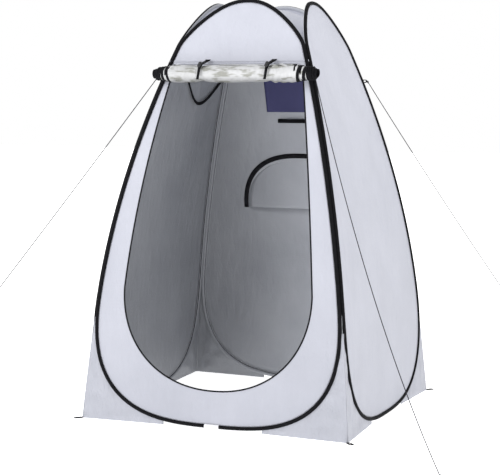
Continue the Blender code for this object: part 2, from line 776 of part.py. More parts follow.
# ---- toggle straps that hold the roll ----
def toggle(name, x):
    """A strap from above the roll down its front, and the bar that lies on it."""
    hinge_y = -wall_half(TOGGLE_TOP) - 0.010
    reach = ROLL_R + TOGGLE_GAP
    verts = []
    faces = []
    path = [(hinge_y - 0.004, TOGGLE_TOP)]
    for k in range(5):
        ang = math.radians(TOGGLE_FROM + (TOGGLE_TO - TOGGLE_FROM) * k / 4)
        path.append((roll_y + reach * math.cos(ang), ROLL_Z + reach * math.sin(ang)))
    tip_y, tip_z = path[-1]
    tail = math.radians(TOGGLE_TO + 90.0)
    path.append((tip_y + TOGGLE_TAIL * math.cos(tail), tip_z + TOGGLE_TAIL * math.sin(tail)))
    for i, (y, z) in enumerate(path):
        y0, z0 = path[max(0, i - 1)]
        y1, z1 = path[min(len(path) - 1, i + 1)]
        run = math.hypot(y1 - y0, z1 - z0)
        normal = ((z1 - z0) / run, -(y1 - y0) / run)
        half = TOGGLE_W * 0.5 * (1.0 - 0.45 * i / (len(path) - 1))
        for sign, lift in ((-1, 0.0), (1, 0.0), (1, TOGGLE_T), (-1, TOGGLE_T)):
            verts.append((x + sign * half, y + normal[0] * lift, z + normal[1] * lift))
    for i in range(len(path) - 1):
        for k in range(4):
            m = (k + 1) % 4
            faces.append((i * 4 + k, i * 4 + m, i * 4 + 4 + m, i * 4 + 4 + k))
    end = (len(path) - 1) * 4
    faces.append((0, 1, 2, 3))
    faces.append((end, end + 1, end + 2, end + 3))
    hinge = (x, hinge_y, TOGGLE_TOP)
    add_object("toggle_strap_" + name, verts, faces, "inner_trim", hinge)
    bar_verts = []
    bar_faces = []
    sides = 10
    shape = ((-1.0, 0.55), (-0.85, 0.9), (-0.4, 1.0), (0.4, 1.0), (0.85, 0.9), (1.0, 0.55))
    bar_ang = math.radians(TOGGLE_BAR_AT)
    bar_out = (math.cos(bar_ang), math.sin(bar_ang))
    bar_way = (-bar_out[1], bar_out[0])
    bar_reach = reach + TOGGLE_T + TOGGLE_BAR_R + INNER_CLEAR
    for along, size in shape:
        for k in range(sides):
            ang = 2.0 * math.pi * k / sides
            lift = bar_reach + TOGGLE_BAR_R * size * math.sin(ang)
            slide = TOGGLE_BAR_HALF * along
            bar_verts.append((x + TOGGLE_BAR_R * size * math.cos(ang),
                              roll_y + bar_out[0] * lift + bar_way[0] * slide,
                              ROLL_Z + bar_out[1] * lift + bar_way[1] * slide))
    for i in range(len(shape) - 1):
        for k in range(sides):
            m = (k + 1) % sides
            bar_faces.append((i * sides + k, i * sides + m, (i + 1) * sides + m, (i + 1) * sides + k))
    bar_faces.append(tuple(range(sides)))
    bar_faces.append(tuple((len(shape) - 1) * sides + k for k in range(sides)))
    add_object("toggle_bar_" + name, bar_verts, bar_faces, "black_plastic", hinge)


toggle("left", TOGGLE_X[0])
toggle("right", TOGGLE_X[1])
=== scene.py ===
import math

import bpy
from mathutils import Matrix, Vector, noise


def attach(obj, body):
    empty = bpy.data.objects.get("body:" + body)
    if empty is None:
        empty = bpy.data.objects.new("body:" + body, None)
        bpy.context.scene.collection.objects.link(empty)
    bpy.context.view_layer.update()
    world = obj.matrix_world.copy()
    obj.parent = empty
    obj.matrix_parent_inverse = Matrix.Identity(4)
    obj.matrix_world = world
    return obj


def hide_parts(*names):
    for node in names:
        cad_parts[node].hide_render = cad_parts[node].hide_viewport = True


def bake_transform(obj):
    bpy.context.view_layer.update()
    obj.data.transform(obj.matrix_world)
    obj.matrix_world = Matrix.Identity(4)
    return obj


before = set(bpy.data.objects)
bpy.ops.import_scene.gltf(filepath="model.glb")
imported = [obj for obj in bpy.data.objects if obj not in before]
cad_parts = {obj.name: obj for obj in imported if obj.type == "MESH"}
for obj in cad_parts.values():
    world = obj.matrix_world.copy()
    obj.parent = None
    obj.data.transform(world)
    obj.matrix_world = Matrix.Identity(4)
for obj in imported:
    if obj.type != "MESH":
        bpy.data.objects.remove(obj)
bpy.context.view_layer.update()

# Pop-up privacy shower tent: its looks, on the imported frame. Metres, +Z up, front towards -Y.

scene = bpy.context.scene

# ---- shape of the tent, the same as in the CAD ----
HEIGHT = 1.890
BASE_HALF = 0.635
WALL_HALF = 0.6155
WALL_LEAN = 0.2021
WALL_BOW = 0.1077
HOOP_WAIST = 0.618
HOOP_SHOULDER = 1.6855
HOOP_FOOT = 0.011
FOOT_POWER = 2.973
CROWN_RISE_POWER = 1.5146
CROWN_SIDE_POWER = 2.2451
SEAM_INSET = 0.0118
BINDING_R = 0.0086
DOOR_FOOT = 0.168
DOOR_WIDEST = 0.600
DOOR_TOP = 1.605
DOOR_HALF = 0.447
DOOR_TAPER = 0.135
DOOR_BOW = 0.060
DOOR_WIDEST_TOP = 1.520
DOOR_POWER = 2.15
DOOR_CORNER = 0.030
ROLL_Z = 1.558
ROLL_R = 0.0405
ROLL_OFFSET = 0.0535
TOGGLE_X = (-0.142, 0.178)
TOGGLE_TOP = 1.618
FLAP_HALF = 0.293
FLAP_TOP = 1.144
FLAP_FOOT = 0.900
FLAP_POWER = 2.4
GUY_Z = 1.540
CLOTH_THICK = 0.0009
ROOF_SAG = 0.225
ROOF_SAG_POWER = 0.8
SKIRT_INNER = 0.236
SKIRT_TOP = 0.470
COVER_HALF = 0.150
COVER_FOOT = 1.388
COVER_HEIGHT = 0.212
TOWEL_HALF = 0.097
TOWEL_Z = 1.344
TOWEL_WIDTH = 0.020
TOWEL_STAND_OFF = 0.016
HANG_START = -0.104
HANG_RUN = 0.430
HANG_Z = 1.545
HANG_DROP = 0.118
HANG_LOWEST = 0.204
HANG_WIDTH = 0.016
STRAP_THICK = 0.0016
STRIP_TOP = 1.600
STRIP_FOOT = 1.530
HEAD_SEAM_Z = 1.6165
HEAD_SEAM_HALF = 0.335
ROOT_HALF = math.sqrt(0.5)
SIDES = ("front", "right", "back", "left")
CORNERS = (("front_right", 0), ("back_right", 1), ("back_left", 2), ("front_left", 3))


def wall_half(z):
    return WALL_HALF - WALL_LEAN * z + WALL_BOW * z * (HEIGHT - z)


def wall_normal(z):
    slope = -WALL_LEAN + WALL_BOW * (HEIGHT - 2.0 * z)
    return Vector((0.0, -1.0, -slope)).normalized()


def turned(point, side):
    x, y, z = point
    for _ in range(side):
        x, y = -y, x
    return Vector((x, y, z))


# ---- camera ----
LENS = 103.27
AZIMUTH = math.radians(21.95)
ELEVATION = math.radians(5.10)
DISTANCE = 6.8306
ROLL = math.radians(0.377)
TARGET = Vector((-0.0736, 0.0, 0.7929))
back = Vector((math.sin(AZIMUTH) * math.cos(ELEVATION), -math.cos(AZIMUTH) * math.cos(ELEVATION),
               math.sin(ELEVATION)))
right = (-back).cross(Vector((0.0, 0.0, 1.0))).normalized()
up = back.cross(right)
cam_right = right * math.cos(ROLL) + up * math.sin(ROLL)
cam_up = up * math.cos(ROLL) - right * math.sin(ROLL)
camera = bpy.data.objects.new("camera", bpy.data.cameras.new("camera"))
scene.collection.objects.link(camera)
camera.data.lens = LENS
camera.data.sensor_width = 36.0
camera.data.clip_end = 100.0
turn_matrix = Matrix((cam_right, cam_up, back)).transposed().to_4x4()
camera.matrix_world = Matrix.Translation(TARGET + back * DISTANCE) @ turn_matrix
scene.camera = camera


# ---- materials ----
def new_material(name):
    mat = bpy.data.materials.new(name)
    mat.use_nodes = True
    nodes = mat.node_tree.nodes
    return mat, nodes, mat.node_tree.links, nodes["Principled BSDF"]


def add_mapping(nodes, links, scale, turn=(0.0, 0.0, 0.0)):
    coords = nodes.new("ShaderNodeTexCoord")
    mapping = nodes.new("ShaderNodeMapping")
    mapping.inputs["Scale"].default_value = scale
    mapping.inputs["Rotation"].default_value = turn
    links.new(coords.outputs["Object"], mapping.inputs["Vector"])
    return mapping.outputs["Vector"]


def add_noise(nodes, links, vector, scale, detail=3.0, rough=0.5):
    tex = nodes.new("ShaderNodeTexNoise")
    tex.inputs["Scale"].default_value = scale
    tex.inputs["Detail"].default_value = detail
    tex.inputs["Roughness"].default_value = rough
    links.new(vector, tex.inputs["Vector"])
    return tex.outputs["Fac"]


def add_bump(nodes, links, height, strength, distance, below=None):
    bump = nodes.new("ShaderNodeBump")
    bump.inputs["Strength"].default_value = strength
    bump.inputs["Distance"].default_value = distance
    links.new(height, bump.inputs["Height"])
    if below is not None:
        links.new(below, bump.inputs["Normal"])
    return bump.outputs["Normal"]


def add_ramp(nodes, links, value, low, high, start=0.3, end=0.7):
    ramp = nodes.new("ShaderNodeValToRGB")
    ramp.color_ramp.elements[0].position = start
    ramp.color_ramp.elements[1].position = end
    ramp.color_ramp.elements[0].color = (*low, 1.0)
    ramp.color_ramp.elements[1].color = (*high, 1.0)
    links.new(value, ramp.inputs["Fac"])
    return ramp.outputs["Color"]


def weave_height(nodes, links, pitch):
    """Two crossed bands, one thread pitch apart, on any wall."""
    total = None
    for direction in ("X", "Y", "Z"):
        wave = nodes.new("ShaderNodeTexWave")
        wave.bands_direction = direction
        wave.inputs["Scale"].default_value = 1.0 / pitch / 20.0 * 6.2832
        wave.inputs["Distortion"].default_value = 0.6
        wave.inputs["Detail"].default_value = 1.0
        links.new(add_mapping(nodes, links, (1.0, 1.0, 1.0)), wave.inputs["Vector"])
        if total is None:
            total = wave.outputs["Fac"]
        else:
            join = nodes.new("ShaderNodeMath")
            join.operation = "ADD"
            links.new(total, join.inputs[0])
            links.new(wave.outputs["Fac"], join.inputs[1])
            total = join.outputs["Value"]
    return total


def add_painted_shading(nodes, links, colour, axis, start, end, low, high):
    """Painted shade and light: darken a colour along one axis, from low at start to high at end; a factor
    above one brightens it instead.
    """
    coords = nodes.new("ShaderNodeTexCoord")
    split = nodes.new("ShaderNodeSeparateXYZ")
    links.new(coords.outputs["Object"], split.inputs["Vector"])
    fade = nodes.new("ShaderNodeMapRange")
    fade.interpolation_type = "SMOOTHSTEP"
    fade.inputs["From Min"].default_value = start
    fade.inputs["From Max"].default_value = end
    fade.inputs["To Min"].default_value = low
    fade.inputs["To Max"].default_value = high
    links.new(split.outputs[axis], fade.inputs["Value"])
    scaled = nodes.new("ShaderNodeVectorMath")
    scaled.operation = "SCALE"
    links.new(colour, scaled.inputs[0])
    links.new(fade.outputs["Result"], scaled.inputs["Scale"])
    return scaled.outputs["Vector"]


def cloth(name, low, high, rough, sheen=0.25, crease=0.5, pitch=0.0016, coat=0.0, metal=0.0, painted_light_and_shade=()):
    mat, nodes, links, shader = new_material(name)
    wide = add_noise(nodes, links, add_mapping(nodes, links, (1.0, 1.0, 1.0)), 3.2, 4.0, 0.55)
    colour = add_ramp(nodes, links, wide, low, high)
    # painted light and shade: the colour is darkened or brightened along fixed axes
    for fade in painted_light_and_shade:
        colour = add_painted_shading(nodes, links, colour, *fade)
    links.new(colour, shader.inputs["Base Color"])
    slanted = add_mapping(nodes, links, (7.0, 7.0, 2.4), (0.3, 0.25, 0.4))
    creases = add_noise(nodes, links, slanted, 2.2, 6.0, 0.6)
    normal = add_bump(nodes, links, creases, crease, 0.020)
    normal = add_bump(nodes, links, weave_height(nodes, links, pitch), 0.25, 0.0004, normal)
    links.new(normal, shader.inputs["Normal"])
    rough_map = nodes.new("ShaderNodeMapRange")
    rough_map.inputs["To Min"].default_value = rough - 0.07
    rough_map.inputs["To Max"].default_value = rough + 0.07
    links.new(wide, rough_map.inputs["Value"])
    links.new(rough_map.outputs["Result"], shader.inputs["Roughness"])
    shader.inputs["Sheen Weight"].default_value = sheen
    shader.inputs["Coat Weight"].default_value = coat
    shader.inputs["Metallic"].default_value = metal
    return mat


def webbing(name, low, high, rib_axis="Z", pitch=0.0022):
    mat, nodes, links, shader = new_material(name)
    wave = nodes.new("ShaderNodeTexWave")
    wave.wave_type = "BANDS"
    wave.bands_direction = rib_axis
    wave.inputs["Scale"].default_value = 6.2832 / pitch / 20.0
    wave.inputs["Distortion"].default_value = 1.2
    links.new(add_mapping(nodes, links, (1.0, 1.0, 1.0)), wave.inputs["Vector"])
    fine = add_noise(nodes, links, add_mapping(nodes, links, (1.0, 1.0, 1.0)), 90.0, 3.0, 0.6)
    links.new(add_ramp(nodes, links, fine, low, high), shader.inputs["Base Color"])
    normal = add_bump(nodes, links, wave.outputs["Fac"], 0.5, 0.0006)
    normal = add_bump(nodes, links, fine, 0.3, 0.0006, normal)
    links.new(normal, shader.inputs["Normal"])
    shader.inputs["Roughness"].default_value = 0.85
    shader.inputs["Specular IOR Level"].default_value = 0.15
    return mat


# Painted shade on the outer cloth and the skirts: darker towards the bottom, 0.74 of the colour at the floor
# rising to 0.93 at 1.8 m.
OUTER = cloth("outer_cloth", (0.520, 0.533, 0.605), (0.585, 0.598, 0.675), 0.62, 0.1, 0.4,
              painted_light_and_shade=(("Z", 0.0, 1.8, 0.74, 0.93),))
SKIRT = cloth("skirt_cloth", (0.500, 0.513, 0.580), (0.590, 0.603, 0.675), 0.62, 0.1, 1.0,
              painted_light_and_shade=(("Z", 0.0, 1.8, 0.74, 0.93),))
# Painted light and shade on the inner coating: darker on the left and towards the bottom, brighter on the
# right.
INNER = cloth("inner_coating", (0.350, 0.362, 0.395), (0.430, 0.442, 0.475), 0.50, 0.0, 0.45,
              painted_light_and_shade=(("X", -0.50, 0.30, 0.70, 1.42), ("Z", 0.2, 1.4, 0.86, 1.0)))
# Painted shade on the rolled door: darker along its underside, half the colour at the bottom of the roll
# rising to 0.95 at its middle.
SILVER = cloth("rolled_silver", (0.50, 0.505, 0.510), (0.66, 0.665, 0.680), 0.42, 0.0, 1.0, 0.0014, 0.05, 0.1,
               painted_light_and_shade=(("Z", 1.518, 1.556, 0.50, 0.95),))
NAVY = cloth("navy_cloth", (0.036, 0.036, 0.118), (0.058, 0.058, 0.165), 0.7, 0.05, 0.3)
PATCH = cloth("patch_cloth", (0.74, 0.74, 0.78), (0.82, 0.82, 0.86), 0.7, 0.2, 0.3, 0.0010)
TAPE = webbing("black_tape", (0.002, 0.002, 0.003), (0.007, 0.007, 0.009))
BLACK_WEB = webbing("black_webbing", (0.002, 0.002, 0.003), (0.009, 0.009, 0.011), "X")
ZIP_TEETH = webbing("zip_teeth", (0.003, 0.003, 0.004), (0.016, 0.016, 0.019), "Z", 0.0040)
THREAD = webbing("seam_thread", (0.55, 0.56, 0.60), (0.72, 0.73, 0.78), "X", 0.0015)
STEEL_MAT, steel_nodes, steel_links, steel_shader = new_material("drawn_wire")
steel_grain = add_noise(steel_nodes, steel_links,
                        add_mapping(steel_nodes, steel_links, (1.0, 1.0, 1.0)), 400.0)
steel_links.new(add_ramp(steel_nodes, steel_links, steel_grain, (0.33, 0.34, 0.36), (0.50, 0.51, 0.53)),
                steel_shader.inputs["Base Color"])
steel_links.new(add_bump(steel_nodes, steel_links, steel_grain, 0.2, 0.0003), steel_shader.inputs["Normal"])
steel_shader.inputs["Metallic"].default_value = 1.0
steel_shader.inputs["Roughness"].default_value = 0.34
PLASTIC, plastic_nodes, plastic_links, plastic_shader = new_material("moulded_black")
plastic_grain = add_noise(plastic_nodes, plastic_links,
                          add_mapping(plastic_nodes, plastic_links, (1.0, 1.0, 1.0)), 700.0)
plastic_links.new(add_ramp(plastic_nodes, plastic_links, plastic_grain, (0.006, 0.006, 0.008),
                           (0.016, 0.016, 0.018)), plastic_shader.inputs["Base Color"])
plastic_links.new(add_bump(plastic_nodes, plastic_links, plastic_grain, 0.3, 0.0003),
                  plastic_shader.inputs["Normal"])
plastic_shader.inputs["Roughness"].default_value = 0.42
CORD = webbing("braided_cord", (0.002, 0.002, 0.003), (0.05, 0.05, 0.06), "Z", 0.0060)


# Painted shade in the rolled door's creases: dark olive lines along slanting noise, multiplied into its
# colour.
silver_nodes = SILVER.node_tree.nodes
silver_links = SILVER.node_tree.links
silver_shader = silver_nodes["Principled BSDF"]
silver_colour = silver_shader.inputs["Base Color"].links[0].from_socket
silver_slant = add_mapping(silver_nodes, silver_links, (9.0, 30.0, 34.0), (0.0, 0.85, 0.0))
crease_shade_noise = add_noise(silver_nodes, silver_links, silver_slant, 1.6, 3.0, 0.45)
painted_crease_shade = add_ramp(silver_nodes, silver_links, crease_shade_noise, (0.40, 0.40, 0.33), (1.0, 1.0, 1.0), 0.40, 0.50)
crease_shade_mix = silver_nodes.new("ShaderNodeMix")
crease_shade_mix.data_type = "RGBA"
crease_shade_mix.blend_type = "MULTIPLY"
crease_shade_mix.inputs["Factor"].default_value = 0.75
silver_links.new(silver_colour, crease_shade_mix.inputs["A"])
silver_links.new(painted_crease_shade, crease_shade_mix.inputs["B"])
silver_links.new(crease_shade_mix.outputs["Result"], silver_shader.inputs["Base Color"])


# ---- mesh helpers ----
def make_mesh(name, verts, faces, mats, face_mats=None, smooth=True):
    mesh = bpy.data.meshes.new(name)
    mesh.from_pydata([tuple(v) for v in verts], [], faces)
    for mat in mats:
        mesh.materials.append(mat)
    for i, poly in enumerate(mesh.polygons):
        poly.use_smooth = smooth
        if face_mats:
            poly.material_index = face_mats[i]
    mesh.validate()
    obj = bpy.data.objects.new(name, mesh)
    scene.collection.objects.link(obj)
    return obj


def grid_faces(rows, cols, wrap_rows=False, wrap_cols=False):
    faces = []
    for r in range(rows if wrap_rows else rows - 1):
        for c in range(cols if wrap_cols else cols - 1):
            r2 = (r + 1) % rows
            c2 = (c + 1) % cols
            faces.append((r * cols + c, r * cols + c2, r2 * cols + c2, r2 * cols + c))
    return faces


def solidify(obj, thick, inner=0, rim=0, offset=0.0):
    mod = obj.modifiers.new("thickness", "SOLIDIFY")
    mod.thickness = thick
    mod.offset = offset
    mod.use_even_offset = False
    mod.material_offset = inner
    mod.material_offset_rim = rim
    return mod


def wrinkle(x, z, seed, size):
    """Soft shallow folds in a wall's cloth, in metres."""
    p = Vector((x * 2.3 + seed * 7.1, z * 1.3, seed))
    q = Vector((x * 9.0 + z * 3.0 + seed, z * 3.4 - x * 2.0, seed * 3.0))
    return size * (noise.noise(p) + 0.35 * noise.noise(q))


def hoop_half(foot_steps, side_steps, crown_steps):
    pts = []
    for i in range(foot_steps + 1):
        ang = 0.5 * math.pi * i / foot_steps
        z = HOOP_WAIST - (HOOP_WAIST - HOOP_FOOT) * max(0.0, math.cos(ang)) ** (2.0 / FOOT_POWER)
        pts.append([math.sin(ang) ** (2.0 / FOOT_POWER), z])
    for i in range(1, side_steps):
        pts.append([1.0, HOOP_WAIST + (HOOP_SHOULDER - HOOP_WAIST) * i / side_steps])
    for i in range(crown_steps + 1):
        ang = 0.5 * math.pi * i / crown_steps
        side = max(0.0, math.cos(ang)) ** (2.0 / CROWN_SIDE_POWER) if i < crown_steps else 0.0
        rise = math.sin(ang) ** (2.0 / CROWN_RISE_POWER)
        pts.append([side, HOOP_SHOULDER + (HEIGHT - HOOP_SHOULDER) * rise])
    return [(share * (wall_half(z) - SEAM_INSET), z) for share, z in pts]


FOOT_STEPS = 34
SIDE_STEPS = 34
CROWN_STEPS = 28
HALF = hoop_half(FOOT_STEPS, SIDE_STEPS, CROWN_STEPS)
LOOP = HALF + [(-x, z) for x, z in HALF[-2:0:-1]]


def hoop_frames():
    pts = [Vector((x, -wall_half(z), z)) for x, z in LOOP]
    frames = []
    for i, here in enumerate(pts):
        tangent = (pts[(i + 1) % len(pts)] - pts[i - 1]).normalized()
        normal = wall_normal(here.z)
        out = tangent.cross(normal).normalized()
        if out.dot(here - Vector((0.0, here.y, 0.9))) < 0.0:
            out.negate()
        frames.append((here, out, normal))
    return frames


FRAMES = hoop_frames()


def whole(half):
    return half + [(-x, z) for x, z in half[-2:0:-1]]


def inset_half(distance):
    pts = []
    for here, out, _ in FRAMES[:len(HALF)]:
        moved = here - out * distance
        pts.append((moved.x, moved.z))
    pts[0] = (0.0, pts[0][1])
    pts[-1] = (0.0, pts[-1][1])
    return pts


def offset_flat(pts, distance):
    moved = []
    for i, (x, z) in enumerate(pts):
        x0, z0 = pts[i - 1] if i else (-pts[1][0], pts[1][1])
        x1, z1 = pts[i + 1] if i < len(pts) - 1 else (-pts[-2][0], pts[-2][1])
        run = max(1e-9, math.hypot(x1 - x0, z1 - z0))
        moved.append((x + distance * (z1 - z0) / run, z - distance * (x1 - x0) / run))
    moved[0] = (0.0, moved[0][1])
    moved[-1] = (0.0, moved[-1][1])
    return moved


def door_half(z):
    if z >= DOOR_WIDEST:
        over = z - DOOR_WIDEST
        return DOOR_HALF - DOOR_TAPER * over + DOOR_BOW * over * (DOOR_WIDEST_TOP - z)
    drop = min(1.0, (DOOR_WIDEST - z) / (DOOR_WIDEST - DOOR_FOOT))
    return DOOR_HALF * max(0.0, 1.0 - drop ** DOOR_POWER) ** (1.0 / DOOR_POWER)


def door_outline():
    corner_steps = 6
    pts = []
    for i in range(FOOT_STEPS + 1):
        ang = 0.5 * math.pi * i / FOOT_STEPS
        z = DOOR_WIDEST - (DOOR_WIDEST - DOOR_FOOT) * max(0.0, math.cos(ang)) ** (2.0 / DOOR_POWER)
        pts.append((DOOR_HALF * math.sin(ang) ** (2.0 / DOOR_POWER), z))
    straight_top = DOOR_TOP - DOOR_CORNER
    for i in range(1, SIDE_STEPS + 1):
        z = DOOR_WIDEST + (straight_top - DOOR_WIDEST) * i / SIDE_STEPS
        pts.append((door_half(z), z))
    corner_x = door_half(straight_top) - DOOR_CORNER
    for i in range(1, corner_steps + 1):
        ang = 0.5 * math.pi * i / corner_steps
        pts.append((corner_x + DOOR_CORNER * math.cos(ang), straight_top + DOOR_CORNER * math.sin(ang)))
    top_steps = CROWN_STEPS - corner_steps
    for i in range(1, top_steps + 1):
        pts.append((corner_x * (1.0 - i / top_steps), DOOR_TOP))
    return pts


def arch_half(grow, line_steps, arch_steps):
    pts = [((FLAP_HALF + grow) * i / line_steps, FLAP_FOOT - grow) for i in range(line_steps)]
    for i in range(arch_steps + 1):
        ang = 0.5 * math.pi * i / arch_steps
        x = (FLAP_HALF + grow) * max(0.0, math.cos(ang)) ** (2.0 / FLAP_POWER)
        z = FLAP_FOOT - grow + (FLAP_TOP - FLAP_FOOT + 2.0 * grow) * math.sin(ang) ** (2.0 / FLAP_POWER)
        pts.append((x if i < arch_steps else 0.0, z))
    return pts


def edge_fade(share):
    """Nought at a panel's edges and one in the middle."""
    return min(1.0, 5.0 * share * (1.0 - share))


def finish_piece(obj, body, nodes):
    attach(obj, body)
    if nodes:
        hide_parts(*nodes)
    return obj


def ring_wall(name, side, inner, nodes, seed, size):
    outer = whole(inset_half(0.003))
    rings = 22
    verts = []
    for r in range(rings + 1):
        share = r / rings
        for (x0, z0), (x1, z1) in zip(outer, inner):
            x = x0 + (x1 - x0) * share
            z = z0 + (z1 - z0) * share
            puff = wrinkle(x, z, seed, size) * edge_fade(share)
            verts.append(turned(Vector((x, -wall_half(z), z)) + wall_normal(z) * puff, side))
    faces = grid_faces(rings + 1, len(outer), wrap_cols=True)
    obj = make_mesh(name, verts, faces, [OUTER, INNER])
    solidify(obj, CLOTH_THICK, 1)
    finish_piece(obj, "tent", nodes)


def plain_wall(name, side, nodes, seed, size):
    edge = inset_half(0.003)
    cols = 37
    verts = []
    for i, (x, z) in enumerate(edge):
        for c in range(cols):
            share = c / (cols - 1)
            px = -x + 2.0 * x * share
            puff = wrinkle(px, z, seed, size) * edge_fade(share) * min(1.0, 0.2 * min(i, len(edge) - 1 - i))
            verts.append(turned(Vector((px, -wall_half(z), z)) + wall_normal(z) * puff, side))
    obj = make_mesh(name, verts, grid_faces(len(edge), cols), [OUTER, INNER])
    solidify(obj, CLOTH_THICK, 1)
    finish_piece(obj, "tent", nodes)


DOOR_LINE = door_outline()
ring_wall("front_wall_cloth", 0, whole(offset_flat(DOOR_LINE, -0.001)), ["wall_front"], 1.0, 0.0022)
plain_wall("right_wall_cloth", 1, ["wall_right"], 2.0, 0.0050)
ARCH = whole(arch_half(0.0001, FOOT_STEPS, SIDE_STEPS + CROWN_STEPS))
ring_wall("back_wall_cloth", 2, ARCH, ["wall_back"], 3.0, 0.0020)
plain_wall("left_wall_cloth", 3, ["wall_left"], 4.0, 0.0030)


# ---- swept tubes: hoop bindings and the cloth that covers them inside ----
def sweep(name, frames, section, mats, side=0, closed=True, caps=True, wrap=True):
    verts = []
    for here, out, normal in frames:
        for across, lift in section:
            verts.append(turned(here + out * across + normal * lift, side))
    faces = grid_faces(len(frames), len(section), wrap_rows=closed, wrap_cols=wrap)
    if not closed and caps:
        faces.append(tuple(range(len(section)))[::-1])
        faces.append(tuple((len(frames) - 1) * len(section) + k for k in range(len(section))))
    return make_mesh(name, verts, faces, mats)


def round_section(radius, steps, flat=1.0):
    angles = [2.0 * math.pi * k / steps for k in range(steps)]
    return [(radius * math.cos(ang), radius * flat * math.sin(ang)) for ang in angles]


for number, wall_name in enumerate(SIDES):
    lumpy = []
    for i, (here, out, normal) in enumerate(FRAMES):
        shift = 0.0004 * noise.noise(Vector((i * 0.7, number * 5.0, 0.0)))
        lumpy.append((here + out * shift, out, normal))
    tube = sweep("binding_tube_" + wall_name, lumpy, round_section(BINDING_R, 14, 0.92), [TAPE], number)
    finish_piece(tube, "tent", ["hoop_binding_" + wall_name])
    cover = []
    for k in range(9):
        ang = math.radians(-152.0 + 124.0 * k / 8)
        cover.append((0.0104 * math.cos(ang), 0.0102 * math.sin(ang)))
    lining = sweep("inner_seam_" + wall_name, FRAMES, cover, [INNER], number, wrap=False)
    solidify(lining, 0.0007)
    finish_piece(lining, "tent", [])


# ---- stitches beside each hoop, inside and outside ----
def stitch_row(name, path, mat, length, gap, radius, body):
    """Short thread stitches laid along a path of (point, normal)."""
    verts = []
    faces = []
    carry = 0.0
    for (a, na), (b, _) in zip(path[:-1], path[1:]):
        run = (b - a).length
        if run < 1e-6:
            continue
        way = (b - a) / run
        side_way = way.cross(na).normalized()
        while carry < run:
            mid = a + way * carry
            base = len(verts)
            for along, size in ((-0.5, 0.35), (-0.25, 1.0), (0.25, 1.0), (0.5, 0.35)):
                for k in range(4):
                    ang = math.pi * k / 3
                    verts.append(mid + way * (length * along) + side_way * (radius * size * math.cos(ang))
                                 + na * (radius * size * math.sin(ang)))
            for s in range(3):
                for k in range(3):
                    faces.append((base + s * 4 + k, base + s * 4 + k + 1,
                                  base + s * 4 + k + 5, base + s * 4 + k + 4))
            carry += length + gap
        carry -= run
    return finish_piece(make_mesh(name, verts, faces, [mat]), body, [])


for number, wall_name in enumerate(SIDES):
    inside = []
    outside = []
    for here, out, normal in FRAMES + FRAMES[:1]:
        inside.append((turned(here - out * 0.0125 - normal * 0.0016, number), turned(-normal, number)))
        outside.append((turned(here - out * 0.0105 + normal * 0.0012, number), turned(normal, number)))
    stitch_row("inner_stitches_" + wall_name, inside, THREAD, 0.0055, 0.0018, 0.0011, "tent")
    stitch_row("outer_stitches_" + wall_name, outside, TAPE, 0.0050, 0.0022, 0.0006, "tent")


# ---- binding patch ----
PATCH_HALF = 0.0345
patch_frames = []
for i in range(13):
    x = -PATCH_HALF + 2.0 * PATCH_HALF * i / 12
    here = Vector((x, -wall_half(HOOP_FOOT), HOOP_FOOT + 0.0003))
    normal = wall_normal(HOOP_FOOT)
    out = Vector((0.0, 0.0, -1.0))
    out = (out - normal * out.dot(normal)).normalized()
    patch_frames.append((here, out, normal))
patch_section = []
for k in range(17):
    ang = math.radians(-165.0 + 330.0 * k / 16)
    ripple = 0.0001 * math.sin(5.0 * ang)
    patch_section.append(((0.0100 + ripple) * math.cos(ang), (0.0100 + ripple) * math.sin(ang)))
patch = sweep("binding_patch_cloth", patch_frames, patch_section, [PATCH],
              wrap=False, closed=False, caps=False)
solidify(patch, 0.0008)
finish_piece(patch, "tent", ["binding_patch"])

# ---- door zip tape round the doorway ----
zip_section_out = offset_flat(DOOR_LINE, 0.0035)
zip_section_in = offset_flat(DOOR_LINE, -0.0035)
zip_verts = []
for (x0, z0), (x1, z1) in zip(whole(zip_section_out), whole(zip_section_in)):
    for share, lift in ((0.0, 0.0010), (0.30, 0.0024), (0.5, 0.0030), (0.70, 0.0024), (1.0, 0.0010),
                        (1.0, -0.0010), (0.5, -0.0016), (0.0, -0.0010)):
        x = x0 + (x1 - x0) * share
        z = z0 + (z1 - z0) * share
        zip_verts.append(Vector((x, -wall_half(z), z)) + wall_normal(z) * lift)
zip_faces = grid_faces(len(whole(zip_section_out)), 8, wrap_rows=True, wrap_cols=True)
zip_mats = [1 if min(zip_verts[k].z for k in face) > DOOR_TOP - DOOR_CORNER else 0 for face in zip_faces]
zip_tape = make_mesh("doorway_zip", zip_verts, zip_faces, [ZIP_TEETH, OUTER], zip_mats)
finish_piece(zip_tape, "tent", ["door_zip_tape"])

# ---- seam above the rolled door ----
seam_path = []
for i in range(61):
    x = -HEAD_SEAM_HALF + 2.0 * HEAD_SEAM_HALF * i / 60
    z = HEAD_SEAM_Z + 0.0012 * noise.noise(Vector((x * 9.0, 3.0, 0.0)))
    normal = wall_normal(z)
    here = Vector((x, -wall_half(z), z)) + normal * 0.0012
    seam_path.append((here, Vector((0.0, normal.z, -normal.y)), normal))
seam = sweep("door_head_seam", seam_path, round_section(0.0034, 10, 0.35), [OUTER], closed=False)
finish_piece(seam, "tent", [])
stitch_row("door_head_stitches",
           [(p + n * 0.0012 - o * 0.0045, n) for p, o, n in seam_path],
           THREAD, 0.0050, 0.0022, 0.0006, "tent")

# ---- vent flap and its arched zip ----
flap_edge = arch_half(-0.0001, 1, 40)[1:]
flap_verts = []
flap_cols = 25
for x, z in flap_edge:
    for c in range(flap_cols):
        px = -x + 2.0 * x * c / (flap_cols - 1)
        puff = wrinkle(px, z, 3.0, 0.0012) * edge_fade(c / (flap_cols - 1))
        flap_verts.append(turned(Vector((px, -wall_half(z), z)) + wall_normal(z) * puff, 2))
flap = make_mesh("vent_flap_cloth", flap_verts, grid_faces(len(flap_edge), flap_cols), [OUTER, INNER])
solidify(flap, CLOTH_THICK, 1)
finish_piece(flap, "vent_flap", ["vent_flap"])


